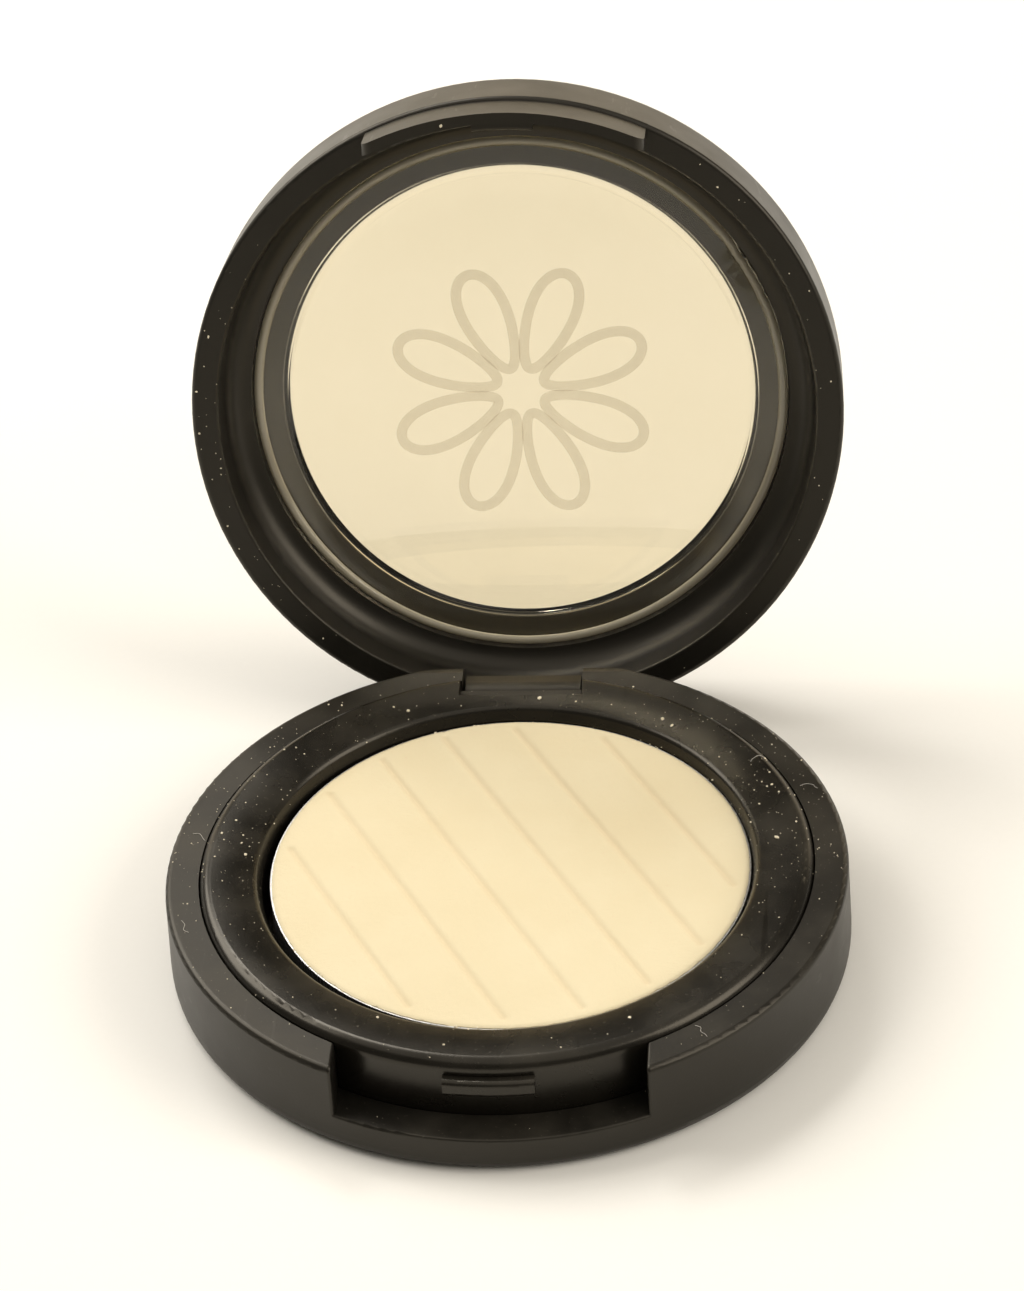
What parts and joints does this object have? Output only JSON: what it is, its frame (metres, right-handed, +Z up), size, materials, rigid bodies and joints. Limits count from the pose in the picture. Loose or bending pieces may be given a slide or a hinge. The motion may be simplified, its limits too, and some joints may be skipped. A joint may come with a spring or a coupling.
{
  "type": "powder compact",
  "caption": "Round black pressed-powder compact with a hinged lid, a clear round window, a front snap tab and a cream powder cake in a metal pan.",
  "frame": {"origin": "centre of the base casing's flat underside", "axes": "+Z up, +Y towards the hinge, +X to the right when the thumb notch faces the user"},
  "size_m": [0.0404, 0.055, 0.0406],
  "materials": {
    "black_plastic": "fine matt moulded black",
    "black_plastic_satin": "satin moulded black",
    "pan_metal": "drawn, bright",
    "powder": "pressed powder, fully matt",
    "adhesive": "translucent glue",
    "label_paper": "satin film label",
    "pin_steel": "ground",
    "clear_plastic": "clear, polished"
  },
  "bodies": {
    "base": {"base_shell": "black_plastic", "pan_bezel": "black_plastic_satin", "powder_pan": "pan_metal", "powder_cake": "powder", "pan_adhesive": "adhesive", "base_label": "label_paper", "hinge_pin": "pin_steel"},
    "lid": {"lid_shell": "black_plastic", "window_lens": "clear_plastic"}
  },
  "joints": [
    {"name": "lid_hinge", "type": "hinge", "parent": "base", "child": "lid", "pos_m": [0, 0.01815, 0.00355], "axis": [1, 0, 0], "range_deg": [0, 104]}
  ]
}
